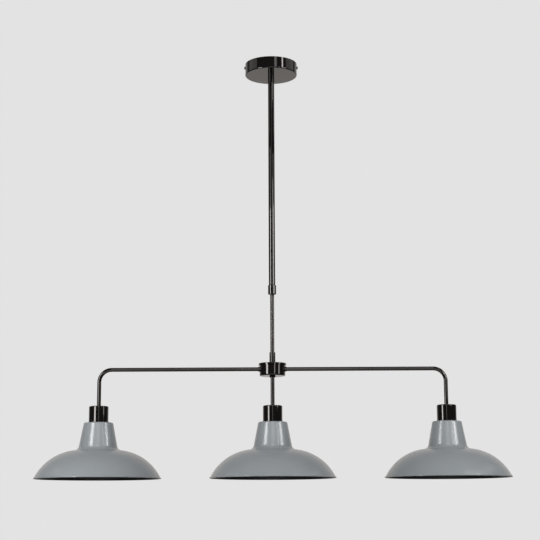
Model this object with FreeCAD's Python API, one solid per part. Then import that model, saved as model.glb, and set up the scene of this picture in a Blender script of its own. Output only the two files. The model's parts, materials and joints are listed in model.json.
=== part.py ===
import FreeCAD, Part
import math
import os

# Linear island pendant: a round ceiling canopy, a two-stage pole with a twist lock, a hub with
# two cranked arms and a centre drop, and three bell-shaped metal shades on bayonet lampholders.
# Millimetres. The origin is the middle of the canopy's face against the ceiling, Z points up,
# X runs along the bar. Heights are therefore negative below the ceiling.

# ---- Driving dimensions -------------------------------------------------------------------

# Clearances
seat_gap = 0.05           # pieces of one body that are screwed or pressed together
running_gap = 0.08        # a shaft that slides or turns in its bush
free_gap = 0.3            # curved faces that pass each other without touching
cutter_margin = 1.0       # how far a cutter stands clear of what it cuts

# Canopy and what is inside it
canopy_radius = 53.6
canopy_height = 24.0
canopy_wall = 1.0
canopy_edge_radius = 1.8
side_screw_drop = 6.8     # screw axis below the ceiling
side_screw_radius = 2.0
side_screw_head_radius = 3.0
side_screw_head_height = 2.3
side_screw_dome = 0.8
side_screw_length = 6.0
screw_slot_width = 0.8
screw_slot_depth = 1.1
bracket_width = 20.0
bracket_end_width = 12.0
bracket_thickness = 1.5
bracket_sink = 5.0        # how far the middle of the strap stands off the ceiling
bracket_middle = 24.0     # half length of the sunk middle
bracket_slope = 5.0
ear_height = 13.0
slot_radius = 2.75
slot_length = 14.0
slot_spacing = 74.0
nipple_radius = 5.0
nipple_bore = 3.4
nipple_plug_depth = 14.0
nipple_rise = 9.0
washer_radius = 9.0
washer_thickness = 1.2
nut_thickness = 3.2
nut_bevel = 0.6           # bevelled share of what the corners stand out
nipple_nut_flats = 14.0
strip_pitch = 7.0
strip_depth = 11.0
strip_height = 10.0
strip_base_height = 4.5
strip_gap = 1.6           # between one pole's tower and the next
strip_wire_level = 4.2
strip_offset = 9.0        # from the pole's axis to the near side of the strip
strip_wire_radius = 1.7
strip_screw_radius = 1.6
strip_screw_foot = 4.9
strip_screw_sink = 1.2
strip_slot_width = 0.6
strip_slot_depth = 0.8
earth_offset = 15.0
earth_head_radius = 3.6
earth_head_height = 2.2
earth_shank_end = 1.0     # below the ceiling

# Pole
tube_radius = 6.5
tube_wall = 1.0
tube_length = 440.2
ferrule_radius = 6.3
ferrule_shoulder = 2.0
ferrule_plug_depth = 16.0
ferrule_thread_radius = 5.9
ferrule_thread_length = 9.0
lock_nut_radius = 8.2
lock_nut_height = 19.2
lock_nut_floor = 2.2
lock_nut_edge = 1.1
lock_sleeve_wall = 1.5
lock_sleeve_bevel = 1.0
lock_sleeve_split = 1.2
lock_play = 0.4           # between the ferrule's end and the sleeve
rod_radius = 4.0
rod_wall = 1.0
rod_visible = 117.2
rod_hidden = 300.0        # length of rod inside the tube as the pendant hangs
guide_length = 12.0
rod_head_height = 1.5
coupler_radius = 5.95
coupler_length = 22.3
coupler_edge = 0.6
thread_engagement = 9.0

# Hub
hub_radius = 25.6
hub_wall = 1.2
hub_depth = 23.9
hub_edge_radius = 2.4
lid_radius = 27.6
lid_rim = 4.4
lid_plate = 1.5
lid_edge_radius = 0.9
arm_rise = 14.0           # arm axis above the hub's underside
arm_collar_radius = 5.1
arm_collar_length = 2.8
drop_collar_radius = 6.1
drop_collar_height = 2.7
collar_bevel = 0.8
arm_nut_flats = 12.0
hub_nut_flats = 13.0
thread_tail = 2.4         # tube end standing proud of its nut

# Arms and drops
arm_reach = 345.0
arm_radius = 4.0
arm_wall = 1.0
bend_radius = 24.5
drop_below_hub = 58.5     # hub underside to cup top

# Cups and lampholders
cup_radius = 19.3
cup_wall = 1.0
cup_height = 32.5
cup_edge_radius = 2.2
cup_lip_radius = 19.6
cup_lip_height = 3.2
cup_lip_bevel = 0.5
holder_skirt_radius = 14.4
holder_skirt_wall = 0.8
holder_skirt_length = 21.0
holder_flange_radius = 17.0
holder_flange_height = 3.0
holder_barrel_radius = 15.6
holder_barrel_height = 12.0
holder_ledge = 0.8
holder_cap_wall = 1.3
holder_boss_radius = 7.0
holder_boss_height = 5.0
socket_radius = 11.2
socket_depth = 16.0       # mouth to the top of the liner
liner_wall = 0.9
liner_flange = 0.8
liner_lip = 0.8           # barrel above its flange
bayonet_slot_width = 3.0
bayonet_slot_depth = 13.5
bayonet_turn = 20.0       # degrees from the way in to the notch
bayonet_notch = 1.0
contact_spacing = 9.4
plunger_radius = 2.1
plunger_head_radius = 2.7
plunger_head_height = 1.6
plunger_travel = 4.0
plunger_remains = 2.6     # what stands out of the block once pushed in
plunger_bevel = 0.4
plunger_collar = 1.2
spring_radius = 2.35      # outside of the coil
spring_wire = 0.5
plate_thickness = 0.8
plate_size = 7.0
block_height = 11.2

# Shades
shade_radius = 125.0
shade_height = 110.0
shade_wall = 0.9
shade_hem_radius = 1.1
dome_radius = 97.6
dome_crown = 56.2
neck_top_radius = 28.7
neck_foot_radius = 39.0
neck_fillet = 10.0
neck_corner = 2.6
ring_radius = 18.6
ring_height = 8.0
ring_flange_radius = 20.5
ring_flange_height = 1.8
ring_grips = 12
ring_grip_radius = 1.1

# ---- Levels and places that follow from the driving dimensions ----------------------------

CANOPY_FLOOR = -canopy_height
TUBE_END = CANOPY_FLOOR - tube_length
NUT_TOP = TUBE_END - ferrule_shoulder
NUT_FOOT = NUT_TOP - lock_nut_height
COUPLER_TOP = NUT_FOOT - rod_visible
HUB_TOP = COUPLER_TOP - coupler_length
HUB_FOOT = HUB_TOP - lid_plate - hub_depth
ARM_AXIS = HUB_FOOT + arm_rise
CUP_TOP = HUB_FOOT - drop_below_hub
SHADE_TOP = CUP_TOP - cup_height
RIM = SHADE_TOP - shade_height
ROD_TOP = NUT_TOP + rod_hidden
SKIRT_FOOT = SHADE_TOP - holder_skirt_length
LINER_TOP = SKIRT_FOOT + socket_depth
LINER_SEAT = LINER_TOP - liner_lip
BARREL_TOP = SHADE_TOP + holder_flange_height + holder_barrel_height
BLOCK_TOP = BARREL_TOP - plate_thickness
BLOCK_FOOT = BLOCK_TOP - block_height

TUBE_BORE = tube_radius - tube_wall
BRACKET_MIDDLE_FOOT = -bracket_sink - bracket_thickness
CANOPY_BORE = canopy_radius - canopy_wall
EAR_FACE = math.sqrt(CANOPY_BORE ** 2 - (bracket_end_width / 2) ** 2) - free_gap
LAMPS = {"left": -arm_reach, "centre": 0.0, "right": arm_reach}


# ---- Shapes used more than once -----------------------------------------------------------

def point(r, z):
    """A point of a turned outline: r across from the axis, z along it."""
    return FreeCAD.Vector(r, 0, z)


def turned(start, *runs):
    """Turn a closed (r, z) outline about Z. A run is an end point, or (middle, end) of an arc."""
    edges = []
    here = start
    for run in runs + (start,):
        if isinstance(run[0], tuple):
            middle, end = run
            edges.append(Part.Arc(point(*here), point(*middle), point(*end)).toShape())
        else:
            end = run
            if math.dist(here, end) > 1e-6:
                edges.append(Part.makeLine(point(*here), point(*end)))
        here = end
    face = Part.Face(Part.Wire(edges))
    return face.revolve(FreeCAD.Vector(0, 0, 0), FreeCAD.Vector(0, 0, 1), 360)


def corner(centre, radius, start_angle, end_angle):
    """Middle and end of an arc about centre in an outline, angles in degrees from +r."""
    def on_arc(angle):
        turn = math.radians(angle)
        return (centre[0] + radius * math.cos(turn), centre[1] + radius * math.sin(turn))
    return on_arc((start_angle + end_angle) / 2), on_arc(end_angle)


def dome_to_axis(radius, rim, top):
    """Middle and end of a round cap's arc, from its rim at a radius up to the axis."""
    rise = top - rim
    ball = (radius ** 2 + rise ** 2) / (2 * rise)
    half = math.asin(radius / ball) / 2
    return (ball * math.sin(half), top - ball * (1 - math.cos(half))), (0, top)


def disc(radius, low, high):
    """Upright round bar between two heights."""
    return Part.makeCylinder(radius, high - low, FreeCAD.Vector(0, 0, low))


def sleeve(outer, inner, low, high):
    """Upright tube between two heights."""
    return disc(outer, low, high).cut(disc(inner, low, high))


def block(size_x, size_y, low, high, centre_x=0.0, centre_y=0.0):
    """Upright rectangular block between two heights."""
    corner_point = FreeCAD.Vector(centre_x - size_x / 2, centre_y - size_y / 2, low)
    return Part.makeBox(size_x, size_y, high - low, corner_point)


def hex_nut(flats, bore, low, high):
    """Hexagonal nut with its corners bevelled, upright between two heights."""
    reach = flats / math.sqrt(3)
    points = []
    for side in range(7):
        turn = math.radians(60 * side)
        points.append(FreeCAD.Vector(reach * math.cos(turn), reach * math.sin(turn), low))
    prism = Part.Face(Part.makePolygon(points)).extrude(FreeCAD.Vector(0, 0, high - low))
    bevel = (reach - flats / 2) * nut_bevel
    hull = turned((0, low), (reach - bevel, low), (reach, low + bevel), (reach, high - bevel),
                  (reach - bevel, high), (0, high))
    return prism.common(hull).cut(disc(bore, low, high))


def moved(shape, x=0.0, y=0.0, z=0.0):
    """A copy of the shape, shifted."""
    copy = shape.copy()
    copy.translate(FreeCAD.Vector(x, y, z))
    return copy


def laid_along_x(shape, x, z):
    """Turn an upright shape about the Y axis so that its +Z side faces +X, then place it."""
    copy = shape.copy()
    copy.rotate(FreeCAD.Vector(0, 0, 0), FreeCAD.Vector(0, 1, 0), 90)
    copy.translate(FreeCAD.Vector(x, 0, z))
    return copy


def mirrored(shape):
    """The shape's twin on the other side of the pole, along X."""
    return shape.mirror(FreeCAD.Vector(0, 0, 0), FreeCAD.Vector(1, 0, 0))


def pair(shape):
    """The shape and its mirror twin as two separate solids."""
    return Part.Compound([shape, mirrored(shape)])


# ---- Canopy -------------------------------------------------------------------------------

def canopy():
    """Round drum, open to the ceiling, with a hole for the pole and two for the side screws."""
    edge = canopy_edge_radius
    inner_edge = edge - canopy_wall
    outer = canopy_radius
    inner = CANOPY_BORE
    floor = CANOPY_FLOOR
    shell = turned(
        (nipple_radius + seat_gap, floor),
        (outer - edge, floor),
        corner((outer - edge, floor + edge), edge, -90, 0),
        (outer, 0),
        (inner, 0),
        (inner, floor + edge),
        corner((outer - edge, floor + edge), inner_edge, 0, -90),
        (nipple_radius + seat_gap, floor + canopy_wall))
    end = outer + cutter_margin
    bore = laid_along_x(disc(side_screw_radius + seat_gap, -end, end), 0, -side_screw_drop)
    return shell.cut(bore)


def side_screw():
    """Domed head outside the canopy, shank through its wall into the bracket's ear."""
    height = side_screw_head_height
    head_radius = side_screw_head_radius
    rim = height - side_screw_dome
    shape = turned(
        (0, -side_screw_length),
        (side_screw_radius, -side_screw_length),
        (side_screw_radius, 0),
        (head_radius, 0),
        (head_radius, rim),
        dome_to_axis(head_radius, rim, height))
    driver_slot = block(screw_slot_width, 2 * head_radius, height - screw_slot_depth, height)
    return laid_along_x(shape.cut(driver_slot), canopy_radius, -side_screw_drop)


def bracket_slot(centre_x):
    """Cutter for one ceiling-screw slot that runs along X."""
    straight = slot_length - 2 * slot_radius
    low = -2 * bracket_thickness
    cutter = block(straight, 2 * slot_radius, low, bracket_thickness, centre_x)
    for end in (-straight / 2, straight / 2):
        cutter = cutter.fuse(moved(disc(slot_radius, low, bracket_thickness), centre_x + end))
    return cutter


def ceiling_bracket():
    """Pressed strap: flat slotted ends on the ceiling, a sunk middle, a turned-down ear each end."""
    thick = bracket_thickness
    sink = bracket_sink
    foot_x = bracket_middle
    head_x = bracket_middle + bracket_slope
    half = [(0, -sink), (foot_x, -sink), (head_x, 0), (EAR_FACE, 0), (EAR_FACE, -ear_height),
            (EAR_FACE - thick, -ear_height), (EAR_FACE - thick, -thick), (head_x, -thick),
            (foot_x, -sink - thick), (0, -sink - thick)]
    outline = half + [(-x, z) for x, z in reversed(half)][1:]
    corners = [FreeCAD.Vector(x, -bracket_width / 2, z) for x, z in outline]
    strip = Part.Face(Part.makePolygon(corners)).extrude(FreeCAD.Vector(0, bracket_width, 0))
    wide = bracket_width / 2
    narrow = bracket_end_width / 2
    plan = [(-EAR_FACE, -narrow), (-head_x, -wide), (head_x, -wide), (EAR_FACE, -narrow),
            (EAR_FACE, narrow), (head_x, wide), (-head_x, wide), (-EAR_FACE, narrow),
            (-EAR_FACE, -narrow)]
    plan_face = Part.Face(Part.makePolygon([FreeCAD.Vector(x, y, -ear_height) for x, y in plan]))
    strip = strip.common(plan_face.extrude(FreeCAD.Vector(0, 0, ear_height)))
    for side in (-1, 1):
        strip = strip.cut(bracket_slot(side * slot_spacing / 2))
    tapped = laid_along_x(disc(side_screw_radius + seat_gap, -canopy_radius, canopy_radius), 0,
                          -side_screw_drop)
    earth_hole = moved(disc(side_screw_radius + seat_gap, -ear_height, 0), -earth_offset)
    fixing_hole = moved(disc(strip_screw_radius, -ear_height, 0), strip_offset + strip_depth / 2,
                        strip_pitch / 2)
    return strip.cut(tapped).cut(earth_hole).cut(fixing_hole)


def earth_screw():
    """Earth terminal: pan head and shank from below the bracket's sunk middle."""
    seat = BRACKET_MIDDLE_FOOT
    head = disc(earth_head_radius, seat - earth_head_height, seat)
    shank = disc(side_screw_radius, seat, -earth_shank_end)
    foot = seat - earth_head_height
    driver_slot = block(screw_slot_width, 2 * earth_head_radius, foot, foot + screw_slot_depth)
    return moved(head.fuse(shank).cut(driver_slot), -earth_offset)


def strip_poles():
    """Distances of the three poles from the middle of a terminal strip."""
    return [-strip_pitch, 0.0, strip_pitch]


def terminal_strip():
    """Three-pole strip on a base at z = 0, poles side by side along X, wires entering along Y."""
    rib = strip_pitch - strip_gap
    body = block(3 * strip_pitch, strip_depth, 0, strip_base_height)
    for pole in strip_poles():
        body = body.fuse(block(rib, strip_depth, 0, strip_height, pole))
    for pole in strip_poles():
        channel = Part.makeCylinder(strip_wire_radius, strip_depth,
                                    FreeCAD.Vector(pole, -strip_depth / 2, strip_wire_level),
                                    FreeCAD.Vector(0, 1, 0))
        body = body.cut(channel)
        for side in (-1, 1):
            well = disc(strip_screw_radius + seat_gap, strip_wire_level, strip_height)
            body = body.cut(moved(well, pole, side * strip_depth / 4))
    for between in (-strip_pitch / 2, strip_pitch / 2):
        body = body.cut(moved(disc(strip_screw_radius / 2, 0, strip_height), between))
    return body


def terminal_strip_screws():
    """The six clamping screws of a strip, sunk in their wells."""
    top = strip_height - strip_screw_sink
    slot = block(strip_slot_width, 2 * strip_screw_radius, top - strip_slot_depth, top)
    screw = disc(strip_screw_radius, strip_screw_foot, top).cut(slot)
    screws = []
    for pole in strip_poles():
        for side in (-1, 1):
            screws.append(moved(screw, pole, side * strip_depth / 4))
    return Part.Compound(screws)


def under_bracket(shape):
    """Hang a strip piece from the bracket's middle, its poles along Y beside the pole."""
    copy = shape.copy()
    copy.rotate(FreeCAD.Vector(0, 0, 0), FreeCAD.Vector(1, 0, 0), 180)
    copy.rotate(FreeCAD.Vector(0, 0, 0), FreeCAD.Vector(0, 0, 1), 90)
    copy.translate(FreeCAD.Vector(strip_offset + strip_depth / 2, 0, BRACKET_MIDDLE_FOOT))
    return copy


def pole_nipple():
    """Hollow stud: a plug in the tube's top end and a thread up through the canopy's floor."""
    plug = TUBE_BORE - seat_gap
    plug_foot = CANOPY_FLOOR - nipple_plug_depth
    top = CANOPY_FLOOR + nipple_rise
    return turned((nipple_bore, plug_foot), (plug, plug_foot), (plug, CANOPY_FLOOR - seat_gap),
                  (nipple_radius, CANOPY_FLOOR - seat_gap), (nipple_radius, top), (nipple_bore, top))


def nipple_washer():
    """Plain washer on the canopy's floor."""
    foot = CANOPY_FLOOR + canopy_wall
    return sleeve(washer_radius, nipple_radius + seat_gap, foot, foot + washer_thickness)


def nipple_nut():
    """Nut that draws the pole up against the canopy."""
    foot = CANOPY_FLOOR + canopy_wall + washer_thickness
    return hex_nut(nipple_nut_flats, nipple_radius + seat_gap, foot, foot + nut_thickness)


# ---- Pole ---------------------------------------------------------------------------------

def upper_tube():
    """Outer stage of the pole."""
    return sleeve(tube_radius, TUBE_BORE, TUBE_END, CANOPY_FLOOR)


def tube_ferrule():
    """Bush in the tube's lower end: plug, visible shoulder, thread for the lock nut, coned mouth."""
    bore = rod_radius + free_gap
    foot = NUT_TOP - ferrule_thread_length
    mouth = bore + lock_sleeve_bevel
    return turned(
        (bore, TUBE_END + ferrule_plug_depth),
        (bore, foot + lock_sleeve_bevel),
        (mouth, foot),
        (ferrule_thread_radius, foot),
        (ferrule_thread_radius, NUT_TOP),
        (ferrule_radius, NUT_TOP),
        (ferrule_radius, TUBE_END),
        (TUBE_BORE - seat_gap, TUBE_END),
        (TUBE_BORE - seat_gap, TUBE_END + ferrule_plug_depth))


def lock_sleeve_outline():
    """Inner and outer radius, foot and top of the split sleeve."""
    inner = rod_radius + running_gap
    foot = NUT_FOOT + lock_nut_floor + seat_gap
    top = NUT_TOP - ferrule_thread_length - lock_play
    return inner, inner + lock_sleeve_wall, foot, top


def lock_sleeve():
    """Split plastic sleeve, bevelled at both ends, that the nut squeezes on the rod."""
    inner, outer, foot, top = lock_sleeve_outline()
    bevel = lock_sleeve_bevel
    ring = turned((inner, foot), (outer - bevel, foot), (outer, foot + bevel), (outer, top - bevel),
                  (outer - bevel, top), (inner, top))
    split = block(2 * outer, lock_sleeve_split, foot, top, outer)
    return ring.cut(split)


def lock_nut():
    """Smooth twist nut: thread chamber, coned seat for the sleeve and a hole for the rod."""
    outer = lock_nut_radius
    chamber = ferrule_thread_radius + free_gap
    sleeve_outer = lock_sleeve_outline()[1]
    floor = NUT_FOOT + lock_nut_floor
    edge = lock_nut_edge
    top = NUT_TOP - seat_gap
    hole = rod_radius + free_gap
    seat = sleeve_outer + free_gap
    return turned(
        (hole, NUT_FOOT),
        (outer - edge, NUT_FOOT),
        corner((outer - edge, NUT_FOOT + edge), edge, -90, 0),
        (outer, top - edge),
        corner((outer - edge, top - edge), edge, 0, 90),
        (chamber, top),
        (chamber, floor + 2 * lock_sleeve_bevel),
        (seat, floor + lock_sleeve_bevel),
        (seat - lock_sleeve_bevel, floor),
        (hole, floor))


def inner_rod():
    """Inner stage: hollow rod with a small head that keeps the guide bush on."""
    bore = rod_radius - rod_wall
    foot = COUPLER_TOP - thread_engagement
    head_foot = ROD_TOP - rod_head_height
    head_radius = TUBE_BORE - free_gap
    return turned((bore, foot), (rod_radius, foot), (rod_radius, head_foot), (head_radius, head_foot),
                  (head_radius, ROD_TOP), (bore, ROD_TOP))


def rod_guide():
    """Plastic bush on the top of the rod: it slides in the tube and the rod turns in it."""
    top = ROD_TOP - rod_head_height - seat_gap
    return sleeve(TUBE_BORE - running_gap, rod_radius + running_gap, top - guide_length, top)


def rod_coupler():
    """Turned coupler between the rod and the hub's stud."""
    bore = rod_radius + seat_gap
    outer = coupler_radius
    edge = coupler_edge
    return turned((bore, HUB_TOP), (outer, HUB_TOP), (outer, COUPLER_TOP - edge),
                  (outer - edge, COUPLER_TOP), (bore, COUPLER_TOP))


# ---- Hub ----------------------------------------------------------------------------------

def hub_nipple():
    """Hollow stud from the coupler through the hub's lid."""
    foot = HUB_TOP - lid_plate - nut_thickness - thread_tail
    return sleeve(rod_radius, rod_radius - rod_wall, foot, HUB_TOP + thread_engagement)


def hub_nut():
    """Nut under the hub's lid."""
    top = HUB_TOP - lid_plate
    return hex_nut(hub_nut_flats, rod_radius + seat_gap, top - nut_thickness, top)


def hub_lid():
    """Shallow cap over the hub, its rim turned down outside the body."""
    edge = lid_edge_radius
    skirt = hub_radius + seat_gap
    foot = HUB_TOP - lid_rim
    plate = HUB_TOP - lid_plate
    return turned(
        (rod_radius + seat_gap, plate),
        (skirt, plate),
        (skirt, foot),
        (lid_radius, foot),
        (lid_radius, HUB_TOP - edge),
        corner((lid_radius - edge, HUB_TOP - edge), edge, 0, 90),
        (rod_radius + seat_gap, HUB_TOP))


def hub_body():
    """Deep cup that holds the joints of the wiring, holed for two arms and the centre drop."""
    edge = hub_edge_radius
    inner_edge = edge - hub_wall
    outer = hub_radius
    inner = hub_radius - hub_wall
    top = HUB_TOP - lid_plate
    hole = arm_radius + seat_gap
    cup = turned(
        (hole, HUB_FOOT),
        (outer - edge, HUB_FOOT),
        corner((outer - edge, HUB_FOOT + edge), edge, -90, 0),
        (outer, top),
        (inner, top),
        (inner, HUB_FOOT + edge),
        corner((outer - edge, HUB_FOOT + edge), inner_edge, 0, -90),
        (hole, HUB_FOOT + hub_wall))
    end = outer + cutter_margin
    return cup.cut(laid_along_x(disc(hole, -end, end), 0, ARM_AXIS))


def arm_nut_face():
    """Distance along X of the outer face of an arm's nut, against the hub's round wall."""
    inner = hub_radius - hub_wall
    reach = arm_nut_flats / math.sqrt(3)
    return math.sqrt(inner ** 2 - reach ** 2) - seat_gap


def arm_collar():
    """Round collar outside the hub's wall, hollowed to sit on its curve."""
    start = hub_radius - hub_wall
    end = hub_radius + arm_collar_length
    edge = collar_bevel
    outer = arm_collar_radius
    ring = turned((arm_radius + seat_gap, start), (outer, start), (outer, end - edge),
                  (outer - edge, end), (arm_radius + seat_gap, end))
    return laid_along_x(ring, 0, ARM_AXIS).cut(disc(hub_radius + seat_gap, HUB_FOOT, HUB_TOP))


def drop_collar():
    """Round collar under the hub around the centre drop."""
    foot = HUB_FOOT - drop_collar_height
    edge = collar_bevel
    outer = drop_collar_radius
    bore = arm_radius + seat_gap
    return turned((bore, foot), (outer - edge, foot), (outer, foot + edge), (outer, HUB_FOOT),
                  (bore, HUB_FOOT))


def hub_tube_nuts():
    """The three nuts inside the hub: one on each arm and one on the centre drop."""
    bore = arm_radius + seat_gap
    face = arm_nut_face()
    side = laid_along_x(hex_nut(arm_nut_flats, bore, face - nut_thickness, face), 0, ARM_AXIS)
    floor = HUB_FOOT + hub_wall
    foot_nut = hex_nut(arm_nut_flats, bore, floor, floor + nut_thickness)
    return Part.Compound([side, mirrored(side), foot_nut])


def in_hub(shape):
    """Set a strip piece on the hub's floor, beside the centre drop's nut."""
    away = arm_nut_flats / math.sqrt(3) + free_gap + strip_depth / 2
    return moved(shape, 0, away, HUB_FOOT + hub_wall)


# ---- Arms ---------------------------------------------------------------------------------

def drop_end():
    """Height of the lower end of each drop, inside its lampholder's cap."""
    return CUP_TOP - cup_wall - nut_thickness - holder_boss_height - thread_tail


def swept_round(radius, path):
    """Round bar along a path that starts on the arm axis and runs along +X."""
    start = path.Vertexes[0].Point
    circle = Part.Wire(Part.makeCircle(radius, start, FreeCAD.Vector(1, 0, 0)))
    return path.makePipeShell([circle], True, False)


def right_arm():
    """Tube out of the hub along X, bent down in one quarter turn over the lamp."""
    start = FreeCAD.Vector(arm_nut_face() - nut_thickness - thread_tail, 0, ARM_AXIS)
    bend_start = FreeCAD.Vector(arm_reach - bend_radius, 0, ARM_AXIS)
    bend_end = FreeCAD.Vector(arm_reach, 0, ARM_AXIS - bend_radius)
    swing = bend_radius * math.sqrt(0.5)
    bend_middle = FreeCAD.Vector(bend_start.x + swing, 0, bend_end.z + swing)
    end = FreeCAD.Vector(arm_reach, 0, drop_end())
    path = Part.Wire([
        Part.makeLine(start, bend_start),
        Part.Arc(bend_start, bend_middle, bend_end).toShape(),
        Part.makeLine(bend_end, end)])
    return swept_round(arm_radius, path).cut(swept_round(arm_radius - arm_wall, path))


def centre_drop():
    """Straight tube from the hub's floor to the middle lamp."""
    top = HUB_FOOT + hub_wall + nut_thickness + thread_tail
    return sleeve(arm_radius, arm_radius - arm_wall, drop_end(), top)


# ---- Lampholder, at the pole's axis; each lamp's copy is shifted along X --------------------

def cup():
    """Turned cup over the lampholder: rounded shoulder, small lip at the mouth."""
    edge = cup_edge_radius
    inner_edge = edge - cup_wall
    outer = cup_radius
    inner = cup_radius - cup_wall
    lip = SHADE_TOP + cup_lip_height
    bevel = cup_lip_bevel
    hole = arm_radius + seat_gap
    return turned(
        (inner, SHADE_TOP),
        (cup_lip_radius - bevel, SHADE_TOP),
        (cup_lip_radius, SHADE_TOP + bevel),
        (cup_lip_radius, lip - bevel),
        (outer, lip),
        (outer, CUP_TOP - edge),
        corner((outer - edge, CUP_TOP - edge), edge, 0, 90),
        (hole, CUP_TOP),
        (hole, CUP_TOP - cup_wall),
        (outer - edge, CUP_TOP - cup_wall),
        corner((outer - edge, CUP_TOP - edge), inner_edge, 90, 0))


def cup_nuts():
    """The nuts inside the three cups."""
    top = CUP_TOP - cup_wall
    nut = hex_nut(arm_nut_flats, arm_radius + seat_gap, top - nut_thickness, top)
    return Part.Compound([moved(nut, x) for x in LAMPS.values()])


def holder_cap():
    """Moulded cap of the lampholder, screwed over its barrel and on the end of the tube."""
    outer = holder_flange_radius
    inner = outer - holder_cap_wall
    foot = SHADE_TOP + holder_flange_height
    shoulder = foot + holder_barrel_height + holder_cap_wall + seat_gap
    top = CUP_TOP - cup_wall - nut_thickness
    boss_foot = top - holder_boss_height + holder_cap_wall
    boss = holder_boss_radius
    bore = arm_radius + seat_gap
    return turned(
        (inner, foot),
        (outer, foot),
        (outer, shoulder),
        (boss, boss_foot),
        (boss, top),
        (bore, top),
        (bore, boss_foot - holder_cap_wall),
        (boss - holder_cap_wall, boss_foot - holder_cap_wall),
        (inner, shoulder - holder_cap_wall))


def holder_body():
    """Moulded body: threaded skirt through the shade, flange above it, barrel in the cap."""
    skirt_bore = holder_skirt_radius - holder_skirt_wall
    ledge_bore = socket_radius + liner_wall + seat_gap
    ledge_top = LINER_SEAT - liner_flange
    ledge_foot = ledge_top - holder_ledge
    flange_top = SHADE_TOP + holder_flange_height - seat_gap
    return turned(
        (skirt_bore, SKIRT_FOOT),
        (holder_skirt_radius, SKIRT_FOOT),
        (holder_skirt_radius, SHADE_TOP + seat_gap),
        (holder_flange_radius, SHADE_TOP + seat_gap),
        (holder_flange_radius, flange_top),
        (holder_barrel_radius, flange_top),
        (holder_barrel_radius, BARREL_TOP),
        (skirt_bore, BARREL_TOP),
        (skirt_bore, ledge_top),
        (ledge_bore, ledge_top),
        (ledge_bore, ledge_foot),
        (skirt_bore, ledge_foot))


def sector(outer, low, high, start_angle, end_angle):
    """Wedge of a disc between two angles, in degrees."""
    wedge = Part.makeCylinder(outer, high - low, FreeCAD.Vector(0, 0, low), FreeCAD.Vector(0, 0, 1),
                              end_angle - start_angle)
    wedge.rotate(FreeCAD.Vector(0, 0, 0), FreeCAD.Vector(0, 0, 1), start_angle)
    return wedge


def bayonet_liner():
    """Pressed barrel with two hooked slots that take the pins of the lamp's cap."""
    outer = socket_radius + liner_wall
    flange = holder_skirt_radius - holder_skirt_wall - seat_gap
    flange_foot = LINER_SEAT - liner_flange
    barrel = turned(
        (socket_radius, SKIRT_FOOT),
        (outer, SKIRT_FOOT),
        (outer, flange_foot),
        (flange, flange_foot),
        (flange, LINER_SEAT),
        (outer, LINER_SEAT),
        (outer, LINER_TOP),
        (socket_radius, LINER_TOP))
    half_slot = math.degrees(bayonet_slot_width / 2 / socket_radius)
    slot_top = SKIRT_FOOT + bayonet_slot_depth
    notch_foot = slot_top - bayonet_slot_width - bayonet_notch
    reach = outer + cutter_margin
    hook = sector(reach, SKIRT_FOOT - cutter_margin, slot_top, -half_slot, half_slot)
    hook = hook.fuse(sector(reach, slot_top - bayonet_slot_width, slot_top, 0, bayonet_turn))
    hook = hook.fuse(sector(reach, notch_foot, slot_top, bayonet_turn - half_slot,
                            bayonet_turn + half_slot))
    for start in (0, 180):
        cutter = hook.copy()
        cutter.rotate(FreeCAD.Vector(0, 0, 0), FreeCAD.Vector(0, 0, 1), start)
        barrel = barrel.cut(cutter)
    return barrel


def contact_places():
    """The two contacts lie across the line of the bayonet slots."""
    return (-contact_spacing / 2, contact_spacing / 2)


def contact_block():
    """Moulded insulator: a rim that holds the liner, and a stepped bore for each plunger."""
    outer = holder_skirt_radius - holder_skirt_wall - seat_gap
    rim_bore = socket_radius + liner_wall + seat_gap
    rim_foot = LINER_SEAT + seat_gap
    body = turned((0, BLOCK_FOOT), (rim_bore, BLOCK_FOOT), (rim_bore, rim_foot),
                  (outer, rim_foot), (outer, BLOCK_TOP), (0, BLOCK_TOP))
    for y in contact_places():
        body = body.cut(moved(disc(plunger_radius + free_gap, BLOCK_FOOT, BLOCK_TOP), 0, y))
        chamber = disc(plunger_head_radius + free_gap, BLOCK_FOOT + plunger_collar, BLOCK_TOP)
        body = body.cut(moved(chamber, 0, y))
    return body


def contact_plungers():
    """Two brass plungers that press on the lamp's contacts."""
    tip = BLOCK_FOOT - plunger_travel - plunger_remains
    seat = BLOCK_FOOT + plunger_collar + seat_gap
    bevel = plunger_bevel
    plunger = turned((0, tip), (plunger_radius - bevel, tip), (plunger_radius, tip + bevel),
                     (plunger_radius, seat), (plunger_head_radius, seat),
                     (plunger_head_radius, seat + plunger_head_height),
                     (0, seat + plunger_head_height))
    return Part.Compound([moved(plunger, 0, y) for y in contact_places()])


def contact_springs():
    """The space that the coil spring between each plunger's head and plate takes up."""
    foot = BLOCK_FOOT + plunger_collar + 2 * seat_gap + plunger_head_height
    top = BLOCK_TOP - seat_gap
    spring = sleeve(spring_radius, spring_radius - spring_wire, foot, top)
    return Part.Compound([moved(spring, 0, y) for y in contact_places()])


def terminal_plates():
    """Two brass plates over the spring chambers, where the wires are clamped."""
    plate = block(plate_size, plate_size, BLOCK_TOP, BARREL_TOP)
    return Part.Compound([moved(plate, 0, y) for y in contact_places()])


# ---- Shade --------------------------------------------------------------------------------

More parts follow.
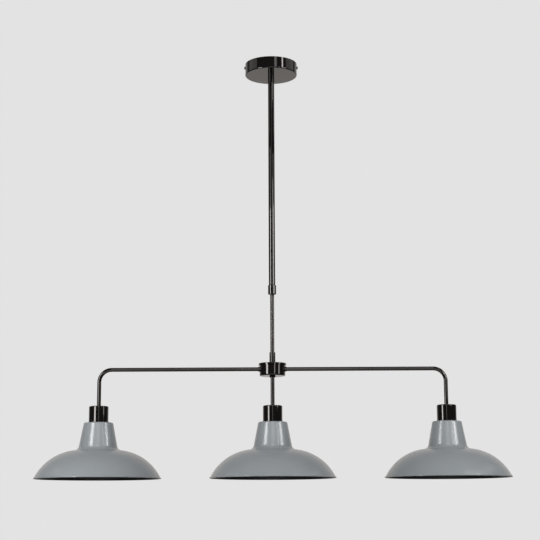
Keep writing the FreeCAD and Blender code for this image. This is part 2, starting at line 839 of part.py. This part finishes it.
def shade_outline():
    """Corner points and centres of the shade's outer profile, in height above the rim."""
    wall_radius = shade_radius - shade_hem_radius + shade_wall / 2
    dome_z = dome_crown - dome_radius
    dome_r = wall_radius - math.sqrt(dome_radius ** 2 - dome_z ** 2)
    run_r = neck_foot_radius - neck_top_radius
    run_z = dome_crown - shade_height
    slant = math.hypot(run_r, run_z)
    along = (run_r / slant, run_z / slant)
    outward = (-along[1], along[0])
    from_dome = (neck_top_radius + outward[0] * neck_fillet - dome_r,
                 shade_height + outward[1] * neck_fillet - dome_z)
    dot = from_dome[0] * along[0] + from_dome[1] * along[1]
    gap_squared = from_dome[0] ** 2 + from_dome[1] ** 2 - (dome_radius + neck_fillet) ** 2
    travel = -dot - math.sqrt(dot ** 2 - gap_squared)
    fillet_centre = (dome_r + from_dome[0] + along[0] * travel,
                     dome_z + from_dome[1] + along[1] * travel)
    drop = (neck_corner - outward[1] * neck_corner) / -along[1]
    corner_centre = (neck_top_radius - outward[0] * neck_corner + along[0] * drop,
                     shade_height - neck_corner)
    return (dome_r, dome_z), fillet_centre, corner_centre, outward


def shade():
    """Spun shade: flat top with the lampholder's hole, tapered neck, wide dome, rolled hem."""
    dome_centre, fillet_centre, corner_centre, outward = shade_outline()
    neck_angle = math.degrees(math.atan2(outward[1], outward[0]))
    to_dome = math.degrees(math.atan2(dome_centre[1] - fillet_centre[1],
                                      dome_centre[0] - fillet_centre[0]))
    wall = shade_wall
    hole = holder_skirt_radius + free_gap
    rim_angle = math.degrees(math.asin(-dome_centre[1] / dome_radius))
    rim_angle_inside = math.degrees(math.asin(-dome_centre[1] / (dome_radius - wall)))
    crown_angle = to_dome + 180

    def on_arc(centre, radius, angle):
        return corner(centre, radius, angle, angle)[1]

    shell = turned(
        (hole, shade_height),
        (corner_centre[0], shade_height),
        corner(corner_centre, neck_corner, 90, neck_angle),
        on_arc(fillet_centre, neck_fillet, neck_angle - 180),
        corner(fillet_centre, neck_fillet, neck_angle - 180, to_dome),
        corner(dome_centre, dome_radius, crown_angle, rim_angle),
        on_arc(dome_centre, dome_radius - wall, rim_angle_inside),
        corner(dome_centre, dome_radius - wall, rim_angle_inside, crown_angle),
        corner(fillet_centre, neck_fillet + wall, to_dome, neck_angle - 180),
        on_arc(corner_centre, neck_corner - wall, neck_angle),
        corner(corner_centre, neck_corner - wall, neck_angle, 90),
        (hole, shade_height - wall))
    hem = Part.makeTorus(shade_radius - shade_hem_radius, shade_hem_radius,
                         FreeCAD.Vector(0, 0, shade_hem_radius), FreeCAD.Vector(0, 0, 1))
    return moved(shell.fuse(hem).removeSplitter(), 0, 0, RIM)


def shade_ring():
    """Threaded ring that clamps the shade: flanged, with grip notches round its foot."""
    top = SHADE_TOP - shade_wall - seat_gap
    bore = holder_skirt_radius + free_gap
    foot = top - ring_height
    ring = turned((bore, foot), (ring_radius, foot), (ring_radius, top - ring_flange_height),
                  (ring_flange_radius, top - ring_flange_height), (ring_flange_radius, top),
                  (bore, top))
    notch = disc(ring_grip_radius, foot, top - ring_flange_height)
    cutters = []
    for index in range(ring_grips):
        turn = math.radians(360 * index / ring_grips)
        cutters.append(moved(notch, ring_radius * math.cos(turn), ring_radius * math.sin(turn)))
    return ring.cut(Part.Compound(cutters))


# ---- All pieces ---------------------------------------------------------------------------

def fixed_pieces():
    """Everything that there is one of, by name."""
    arm = right_arm()
    return {
        "ceiling_bracket": ceiling_bracket(),
        "canopy": canopy(),
        "canopy_side_screws": pair(side_screw()),
        "earth_screw": earth_screw(),
        "terminal_block": under_bracket(terminal_strip()),
        "terminal_screws": under_bracket(terminal_strip_screws()),
        "pole_nipple": pole_nipple(),
        "nipple_washer": nipple_washer(),
        "nipple_nut": nipple_nut(),
        "upper_tube": upper_tube(),
        "tube_ferrule": tube_ferrule(),
        "lock_sleeve": lock_sleeve(),
        "lock_nut": lock_nut(),
        "rod_guide": rod_guide(),
        "inner_rod": inner_rod(),
        "rod_coupler": rod_coupler(),
        "hub_nipple": hub_nipple(),
        "hub_nut": hub_nut(),
        "hub_lid": hub_lid(),
        "hub_body": hub_body(),
        "hub_connector": in_hub(terminal_strip()),
        "hub_connector_screws": in_hub(terminal_strip_screws()),
        "hub_tube_nuts": hub_tube_nuts(),
        "arm_collars": pair(arm_collar()),
        "drop_collar": drop_collar(),
        "right_arm": arm,
        "left_arm": mirrored(arm),
        "centre_drop": centre_drop(),
        "cup_nuts": cup_nuts(),
    }


def lamp_pieces():
    """The pieces of one lamp, on the pole's axis."""
    return {
        "cup": cup(),
        "holder_cap": holder_cap(),
        "holder_body": holder_body(),
        "bayonet_liner": bayonet_liner(),
        "contact_block": contact_block(),
        "terminal_plates": terminal_plates(),
        "contact_plungers": contact_plungers(),
        "contact_springs": contact_springs(),
        "shade": shade(),
        "shade_ring": shade_ring(),
    }


def main():
    os.makedirs("parts", exist_ok=True)
    nodes = fixed_pieces()
    for piece, shape in lamp_pieces().items():
        for side, x in LAMPS.items():
            nodes[side + "_" + piece] = moved(shape, x)
    for name, shape in nodes.items():
        shape.exportStep(os.path.join("parts", name + ".step"))


main()
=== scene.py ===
import json
import math

import bpy
import numpy as np
from mathutils import Euler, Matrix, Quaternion, Vector


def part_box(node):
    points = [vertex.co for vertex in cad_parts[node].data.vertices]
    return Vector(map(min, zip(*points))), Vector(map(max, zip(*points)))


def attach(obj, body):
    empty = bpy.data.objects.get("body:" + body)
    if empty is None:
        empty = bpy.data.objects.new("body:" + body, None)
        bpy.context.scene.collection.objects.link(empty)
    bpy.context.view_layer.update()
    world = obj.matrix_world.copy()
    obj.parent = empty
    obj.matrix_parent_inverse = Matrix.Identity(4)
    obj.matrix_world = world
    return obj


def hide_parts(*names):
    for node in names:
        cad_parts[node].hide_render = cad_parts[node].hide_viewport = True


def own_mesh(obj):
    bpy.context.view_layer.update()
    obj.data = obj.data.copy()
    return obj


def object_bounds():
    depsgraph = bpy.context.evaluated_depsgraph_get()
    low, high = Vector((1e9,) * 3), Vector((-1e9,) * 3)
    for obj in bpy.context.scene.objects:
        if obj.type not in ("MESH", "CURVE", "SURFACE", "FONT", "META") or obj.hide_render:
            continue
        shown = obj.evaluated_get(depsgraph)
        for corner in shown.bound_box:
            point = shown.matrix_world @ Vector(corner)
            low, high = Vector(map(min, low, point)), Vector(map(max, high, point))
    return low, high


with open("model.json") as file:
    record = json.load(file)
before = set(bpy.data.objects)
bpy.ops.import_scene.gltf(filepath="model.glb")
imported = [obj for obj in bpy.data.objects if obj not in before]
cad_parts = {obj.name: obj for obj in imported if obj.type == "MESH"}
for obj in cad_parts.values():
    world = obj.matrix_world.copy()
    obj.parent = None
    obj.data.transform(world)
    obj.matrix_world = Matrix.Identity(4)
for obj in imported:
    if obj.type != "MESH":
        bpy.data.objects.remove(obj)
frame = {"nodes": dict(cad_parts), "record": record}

# Looks of a three-lamp linear pendant: gloss black steelwork, satin grey shades with a black
# inside, brass and plated parts in the sockets. Metres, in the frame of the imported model.

CAD_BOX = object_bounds()
NODES = frame["nodes"]
SIDES = ("left", "centre", "right")

# ---- Camera -------------------------------------------------------------------------------

PICTURE_PIXELS = 540
FOCAL_PIXELS = 1311.4
SENSOR_MM = 36.0
CAMERA_BACK = 2.6087          # from the pole's axis, along -Y
CAMERA_LEFT = 0.0040
CAMERA_BELOW_RIM = 0.0728
CAMERA_PITCH = 10.62          # degrees upwards
CAMERA_ROLL = 0.26            # degrees, which turns the picture counter-clockwise
CAMERA_REACH = 200.0

# ---- Colours, as linear values -------------------------------------------------------------

BACKDROP = (0.768, 0.768, 0.768)
STUDIO_WALLS = (0.70, 0.655, 0.62)
GLOSS_BLACK = (0.005, 0.0045, 0.0045)
ENAMEL_SPECULAR = (1.0, 0.94, 0.90)
SHADE_GREY = (0.245, 0.264, 0.276)
SHADE_INSIDE = (0.011, 0.011, 0.011)
PHENOLIC = (0.014, 0.012, 0.011)
BRASS = (0.70, 0.50, 0.22)
ZINC = (0.56, 0.57, 0.60)
SPRING = (0.42, 0.42, 0.43)
NYLON = (0.74, 0.73, 0.69)

# ---- How far a colour strays from its middle, as a share of it ------------------------------

ENAMEL_SPREAD = 0.25
PAINT_SPREAD = 0.03
INSIDE_SPREAD = 0.2
METAL_SPREAD = 0.12
PLASTIC_SPREAD = 0.08

# ---- Surfaces: a texture is its bumps per metre and its detail, a bump its strength and height

PEEL = (700.0, 2.0)
HAZE = (60.0, 4.0)
CLOUD = (18.0, 3.0)
GRAIN = (2200.0, 2.0)
DRAWN_LINES = (320.0, 4.0)
SKIN = (1500.0, 3.0)
FLOW = (90.0, 3.0)
NOISE_ROUGHNESS = 0.55
EVEN = (1.0, 1.0, 1.0)
DRAWN = (1.0, 1.0, 0.08)      # lines along Z

PEEL_BUMP = (0.02, 0.00002)
GRAIN_BUMP = (0.05, 0.00006)
LINE_BUMP = (0.08, 0.0001)
SKIN_BUMP = (0.08, 0.0001)

ENAMEL_IOR = 1.53
PAINT_IOR = 1.5
PAINT_ROUGHNESS = (0.22, 0.27)
INSIDE_ROUGHNESS = (0.42, 0.52)
ROD_ROUGHNESS = (0.22, 0.28)

# ---- Sizes of the contact springs ----------------------------------------------------------

COIL_TURNS = 7
COIL_STEPS = 28               # points on each turn
COIL_WIRE = 0.0005
COIL_SHORT = 0.00005          # of what each end bears on
FLAT_RISE = 1.1 * COIL_WIRE   # of the first and the last turn
WIRE_SIDES = 8

# ---- Studio --------------------------------------------------------------------------------

LEFT_BOX = (-1.05, -0.92)     # on the floor plan
RIGHT_BOX = (1.10, -0.62)
WALLS_FADE = (0.35, 0.95)     # of a direction's Y, from the dim front to the pale back
WALLS_FRONT = 0.06            # of the back's light


# ---- Material helpers ----------------------------------------------------------------------

def new_material(name):
    """A node material with its node tree and its Principled shader."""
    material = bpy.data.materials.new(name)
    material.use_nodes = True
    tree = material.node_tree
    return material, tree, tree.nodes["Principled BSDF"]


def noise(tree, texture, stretch=EVEN):
    """A 0 to 1 value from noise on the object's own coordinates."""
    coordinates = tree.nodes.new("ShaderNodeTexCoord")
    mapping = tree.nodes.new("ShaderNodeMapping")
    mapping.inputs["Scale"].default_value = stretch
    cloud = tree.nodes.new("ShaderNodeTexNoise")
    cloud.inputs["Scale"].default_value = texture[0]
    cloud.inputs["Detail"].default_value = texture[1]
    cloud.inputs["Roughness"].default_value = NOISE_ROUGHNESS
    tree.links.new(coordinates.outputs["Object"], mapping.inputs["Vector"])
    tree.links.new(mapping.outputs["Vector"], cloud.inputs["Vector"])
    return cloud.outputs["Fac"]


def ranged(tree, source, limits):
    """Map a 0 to 1 value to a range."""
    node = tree.nodes.new("ShaderNodeMapRange")
    node.inputs["To Min"].default_value = limits[0]
    node.inputs["To Max"].default_value = limits[1]
    tree.links.new(source, node.inputs["Value"])
    return node.outputs["Result"]


def varied_colour(tree, source, colour, spread):
    """The colour, a little darker and lighter by a 0 to 1 value."""
    mix = tree.nodes.new("ShaderNodeMix")
    mix.data_type = "RGBA"
    mix.inputs["A"].default_value = (*[c * (1 - spread) for c in colour], 1)
    mix.inputs["B"].default_value = (*[min(1.0, c * (1 + spread)) for c in colour], 1)
    tree.links.new(source, mix.inputs["Factor"])
    return mix.outputs["Result"]


def mixed(tree, kind, factor, low, high):
    """Between two linked values of a kind, by a 0 to 1 value."""
    mix = tree.nodes.new("ShaderNodeMix")
    mix.data_type = kind
    ends = [socket for socket in mix.inputs if socket.enabled and socket.name in "AB"]
    tree.links.new(factor, mix.inputs["Factor"])
    tree.links.new(low, ends[0])
    tree.links.new(high, ends[1])
    return next(socket for socket in mix.outputs if socket.enabled)


def bumped(tree, shader, height, size):
    """Raise the shader's surface by a height value."""
    bump = tree.nodes.new("ShaderNodeBump")
    bump.inputs["Strength"].default_value = size[0]
    bump.inputs["Distance"].default_value = size[1]
    tree.links.new(height, bump.inputs["Height"])
    tree.links.new(bump.outputs["Normal"], shader.inputs["Normal"])


# ---- Materials -----------------------------------------------------------------------------

def enamelled(name, colour, roughness):
    """Stoved enamel on steel, with a slight orange-peel and faint haze."""
    material, tree, shader = new_material(name)
    peel = noise(tree, PEEL)
    haze = noise(tree, HAZE)
    tree.links.new(varied_colour(tree, haze, colour, ENAMEL_SPREAD), shader.inputs["Base Color"])
    tree.links.new(ranged(tree, haze, roughness), shader.inputs["Roughness"])
    shader.inputs["IOR"].default_value = ENAMEL_IOR
    shader.inputs["Specular Tint"].default_value = (*ENAMEL_SPECULAR, 1)
    bumped(tree, shader, peel, PEEL_BUMP)
    return material


def outside_of(tree, centre):
    """1 where the surface faces away from a point on its axis, and 0 where it faces inwards."""
    coordinates = tree.nodes.new("ShaderNodeTexCoord")
    from_centre = tree.nodes.new("ShaderNodeVectorMath")
    from_centre.operation = "SUBTRACT"
    from_centre.inputs[1].default_value = centre
    facing = tree.nodes.new("ShaderNodeVectorMath")
    facing.operation = "DOT_PRODUCT"
    outside = tree.nodes.new("ShaderNodeMath")
    outside.operation = "GREATER_THAN"
    outside.inputs[1].default_value = 0.0
    tree.links.new(coordinates.outputs["Object"], from_centre.inputs[0])
    tree.links.new(from_centre.outputs["Vector"], facing.inputs[0])
    tree.links.new(coordinates.outputs["Normal"], facing.inputs[1])
    tree.links.new(facing.outputs["Value"], outside.inputs[0])
    return outside.outputs["Value"]


def shade_paint(side):
    """Satin grey powder coat outside and matt black inside, which meet under the hem."""
    low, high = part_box(side + "_shade")
    centre = ((low.x + high.x) / 2, (low.y + high.y) / 2, low.z)
    material, tree, shader = new_material(side + "_shade_paint")
    outside = outside_of(tree, centre)
    cloud = noise(tree, CLOUD)
    grain = noise(tree, GRAIN)
    colour = mixed(tree, "RGBA", outside, varied_colour(tree, cloud, SHADE_INSIDE, INSIDE_SPREAD),
                   varied_colour(tree, cloud, SHADE_GREY, PAINT_SPREAD))
    sheen = mixed(tree, "FLOAT", outside, ranged(tree, cloud, INSIDE_ROUGHNESS),
                  ranged(tree, cloud, PAINT_ROUGHNESS))
    tree.links.new(colour, shader.inputs["Base Color"])
    tree.links.new(sheen, shader.inputs["Roughness"])
    shader.inputs["IOR"].default_value = PAINT_IOR
    bumped(tree, shader, grain, GRAIN_BUMP)
    return material


def plated(name, colour, roughness):
    """Bright metal with fine drawn lines and cloudy roughness."""
    material, tree, shader = new_material(name)
    lines = noise(tree, DRAWN_LINES, DRAWN)
    tree.links.new(varied_colour(tree, lines, colour, METAL_SPREAD), shader.inputs["Base Color"])
    tree.links.new(ranged(tree, lines, roughness), shader.inputs["Roughness"])
    shader.inputs["Metallic"].default_value = 1.0
    bumped(tree, shader, lines, LINE_BUMP)
    return material


def moulded(name, colour, roughness):
    """Moulded plastic or a dull black finish, with a fine skin and a little unevenness."""
    material, tree, shader = new_material(name)
    skin = noise(tree, SKIN)
    flow = noise(tree, FLOW)
    tree.links.new(varied_colour(tree, flow, colour, PLASTIC_SPREAD), shader.inputs["Base Color"])
    tree.links.new(ranged(tree, flow, roughness), shader.inputs["Roughness"])
    bumped(tree, shader, skin, SKIN_BUMP)
    return material


# The record's material slots: what makes each finish, its colour and its range of roughness.
FINISHES = {
    "gloss_black": (enamelled, GLOSS_BLACK, (0.035, 0.06)),
    "black_screw": (moulded, GLOSS_BLACK, (0.22, 0.34)),
    "black_phenolic": (moulded, PHENOLIC, (0.22, 0.34)),
    "brass": (plated, BRASS, (0.22, 0.36)),
    "zinc_steel": (plated, ZINC, (0.24, 0.4)),
    "spring_steel": (plated, SPRING, (0.2, 0.32)),
    "white_nylon": (moulded, NYLON, (0.4, 0.52)),
    "clear_nylon": (moulded, NYLON, (0.32, 0.42)),
}


def material_table():
    """One material for each of the record's slots."""
    return {slot: make(slot, colour, roughness)
            for slot, (make, colour, roughness) in FINISHES.items()}


def dress_nodes(table):
    """Give each carried-over node the finish of its slot, and the shades and rod their own."""
    finishes = {part["node"]: table.get(part["material_slot"])
                for part in frame["record"]["subparts"]}
    for side in SIDES:
        finishes[side + "_shade"] = shade_paint(side)
    finishes["inner_rod"] = enamelled("rod_black", GLOSS_BLACK, ROD_ROUGHNESS)
    for name, node in NODES.items():
        node.data.materials.clear()
        node.data.materials.append(finishes[name])


# ---- Contact springs -----------------------------------------------------------------------

def coil(x, y, radius, foot, top):
    """Points and faces of a coil spring whose first and last turns lie almost flat."""
    first = foot + COIL_SHORT + COIL_WIRE / 2
    last = top - COIL_SHORT - COIL_WIRE / 2
    turns = (0, 1, COIL_TURNS - 1, COIL_TURNS)
    levels = (first, first + FLAT_RISE, last - FLAT_RISE, last)
    points = []
    for step in range(COIL_TURNS * COIL_STEPS + 1):
        turn = step / COIL_STEPS
        angle = math.tau * turn
        level = float(np.interp(turn, turns, levels))
        for side in range(WIRE_SIDES):
            about = math.tau * side / WIRE_SIDES
            out = radius - COIL_WIRE / 2 * (1 - math.cos(about))
            points.append((x + out * math.cos(angle), y + out * math.sin(angle),
                           level + COIL_WIRE / 2 * math.sin(about)))
    ends = COIL_TURNS * COIL_STEPS * WIRE_SIDES
    faces = [tuple(range(WIRE_SIDES)), tuple(reversed(range(ends, ends + WIRE_SIDES)))]
    for ring in range(0, ends, WIRE_SIDES):
        for side in range(WIRE_SIDES):
            after = (side + 1) % WIRE_SIDES
            faces.append((ring + side, ring + WIRE_SIDES + side,
                          ring + WIRE_SIDES + after, ring + after))
    return points, faces


def contact_coils(side, finish):
    """Both springs of a lampholder in place of the sleeves, carried on the contacts body."""
    node = side + "_contact_springs"
    low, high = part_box(node)
    centre = (low + high) / 2
    size = high - low
    radius = min(size.x, size.y) / 2
    points = []
    faces = []
    for way in (-1, 1):
        x = centre.x + way * (size.x / 2 - radius)
        y = centre.y + way * (size.y / 2 - radius)
        more_points, more_faces = coil(x, y, radius, low.z, high.z)
        faces += [tuple(corner + len(points) for corner in face) for face in more_faces]
        points += more_points
    mesh = bpy.data.meshes.new(side + "_contact_coils")
    mesh.from_pydata(points, [], faces)
    mesh.polygons.foreach_set("use_smooth", [True] * len(mesh.polygons))
    mesh.materials.append(finish)
    coils = bpy.data.objects.new(side + "_contact_coils", mesh)
    bpy.context.scene.collection.objects.link(coils)
    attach(coils, side + "_contacts")
    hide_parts(node)
    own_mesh(coils)


# ---- Lights --------------------------------------------------------------------------------

def around(azimuth, distance):
    """Place on the floor plan, by azimuth in degrees from the camera's side towards +X."""
    turn = math.radians(azimuth)
    return math.sin(turn) * distance, -math.cos(turn) * distance


def softbox(name, place, facing, width, height, radiance):
    """Flat light at a place that the camera doesn't see, turned along a direction."""
    light = bpy.data.lights.new(name, "AREA")
    light.shape = "RECTANGLE"
    light.size = width
    light.size_y = height
    light.energy = radiance * math.pi * width * height
    holder = bpy.data.objects.new(name, light)
    holder.location = place
    holder.rotation_euler = Vector(facing).to_track_quat("-Z", "Y").to_euler()
    holder.visible_camera = False
    bpy.context.scene.collection.objects.link(holder)


def panel(name, plan, low, high, width, radiance):
    """Upright softbox between two levels that faces the pole."""
    place = (*plan, (low + high) / 2)
    softbox(name, place, (-plan[0], -plan[1], 0), width, high - low, radiance)


def column(plan, width, names, edges, radiances):
    """Panels on top of each other, between each edge and the next."""
    for name, low, high, radiance in zip(names, edges, edges[1:], radiances):
        panel(name, plan, low, high, width, radiance)


def studio_lights():
    """Two tall softboxes beside the camera, and the small dim lights that gloss picks up."""
    column(LEFT_BOX, width=0.38, names=("left_box_foot", "left_box", "left_box_head"),
           edges=(-0.75, -0.32, 0.02, 0.22), radiances=(12.5, 16.0, 4.0))
    column(RIGHT_BOX, width=0.30, names=("right_box_foot", "right_box", "right_box_head"),
           edges=(-0.61, -0.45, 0.0, 0.16), radiances=(4.0, 16.0, 4.0))
    panel("right_strip", around(51, 1.26), low=0.33, high=0.60, width=0.13, radiance=10.0)
    panel("front_low", around(0, 3.0), low=-0.55, high=-0.40, width=0.30, radiance=1.6)
    panel("front_high", around(3, 3.0), low=0.30, high=0.95, width=0.40, radiance=1.6)
    panel("hub_patch", around(20, 2.5), low=-0.42, high=-0.20, width=0.30, radiance=4.6)
    panel("canopy_patch", around(20, 2.5), low=0.70, high=1.00, width=0.45, radiance=2.2)
    softbox("overhead", place=(0.0, -6.0, 3.6), facing=(0.0, 6.0, -4.2),
            width=2.8, height=2.0, radiance=6.0)
    softbox("floor_bounce", place=(0.0, -3.0, -2.3), facing=(0.0, 3.0, 1.5),
            width=2.4, height=1.2, radiance=3.2)
    panel("tube_strip", around(36, 2.5), low=-0.20, high=0.40, width=0.36, radiance=10.0)
    panel("left_wall", around(-88, 2.0), low=0.45, high=1.00, width=1.7, radiance=0.7)
    panel("right_wall", around(92, 2.0), low=0.45, high=1.00, width=1.7, radiance=0.7)


def studio_world():
    """Plain pale backdrop for the camera; other rays see walls pale behind and dim in front."""
    world = bpy.data.worlds.new("studio")
    bpy.context.scene.world = world
    world.use_nodes = True
    tree = world.node_tree
    backdrop = tree.nodes["Background"]
    backdrop.inputs["Color"].default_value = (*BACKDROP, 1)
    coordinates = tree.nodes.new("ShaderNodeTexCoord")
    split = tree.nodes.new("ShaderNodeSeparateXYZ")
    tree.links.new(coordinates.outputs["Generated"], split.inputs["Vector"])
    behind = tree.nodes.new("ShaderNodeMapRange")
    behind.interpolation_type = "SMOOTHSTEP"
    behind.inputs["From Min"].default_value = WALLS_FADE[0]
    behind.inputs["From Max"].default_value = WALLS_FADE[1]
    behind.inputs["To Min"].default_value = WALLS_FRONT
    behind.inputs["To Max"].default_value = 1.0
    tree.links.new(split.outputs["Y"], behind.inputs["Value"])
    walls = tree.nodes.new("ShaderNodeBackground")
    walls.inputs["Color"].default_value = (*STUDIO_WALLS, 1)
    tree.links.new(behind.outputs["Result"], walls.inputs["Strength"])
    path = tree.nodes.new("ShaderNodeLightPath")
    seen = tree.nodes.new("ShaderNodeMath")
    seen.operation = "MAXIMUM"
    tree.links.new(path.outputs["Is Camera Ray"], seen.inputs[0])
    tree.links.new(path.outputs["Is Transmission Ray"], seen.inputs[1])
    mix = tree.nodes.new("ShaderNodeMixShader")
    tree.links.new(seen.outputs["Value"], mix.inputs["Fac"])
    tree.links.new(walls.outputs["Background"], mix.inputs[1])
    tree.links.new(backdrop.outputs["Background"], mix.inputs[2])
    tree.links.new(mix.outputs["Shader"], tree.nodes["World Output"].inputs["Surface"])


def camera():
    """Camera a little below the rims, looking slightly up."""
    rim = CAD_BOX[0][2]
    data = bpy.data.cameras.new("camera")
    data.sensor_fit = "HORIZONTAL"
    data.sensor_width = SENSOR_MM
    data.lens = SENSOR_MM * FOCAL_PIXELS / PICTURE_PIXELS
    data.clip_end = CAMERA_REACH
    holder = bpy.data.objects.new("camera", data)
    holder.location = (-CAMERA_LEFT, -CAMERA_BACK, rim - CAMERA_BELOW_RIM)
    upright = Euler((math.radians(90 + CAMERA_PITCH), 0, 0)).to_quaternion()
    roll = Quaternion((0, 0, 1), -math.radians(CAMERA_ROLL))
    holder.rotation_euler = (upright @ roll).to_euler()
    bpy.context.scene.collection.objects.link(holder)
    bpy.context.scene.camera = holder


def main():
    """Dress the solids, make the springs and set up the studio."""
    bpy.context.scene.view_settings.view_transform = "Standard"
    table = material_table()
    dress_nodes(table)
    for side in SIDES:
        contact_coils(side, table["spring_steel"])
    studio_lights()
    studio_world()
    camera()


main()
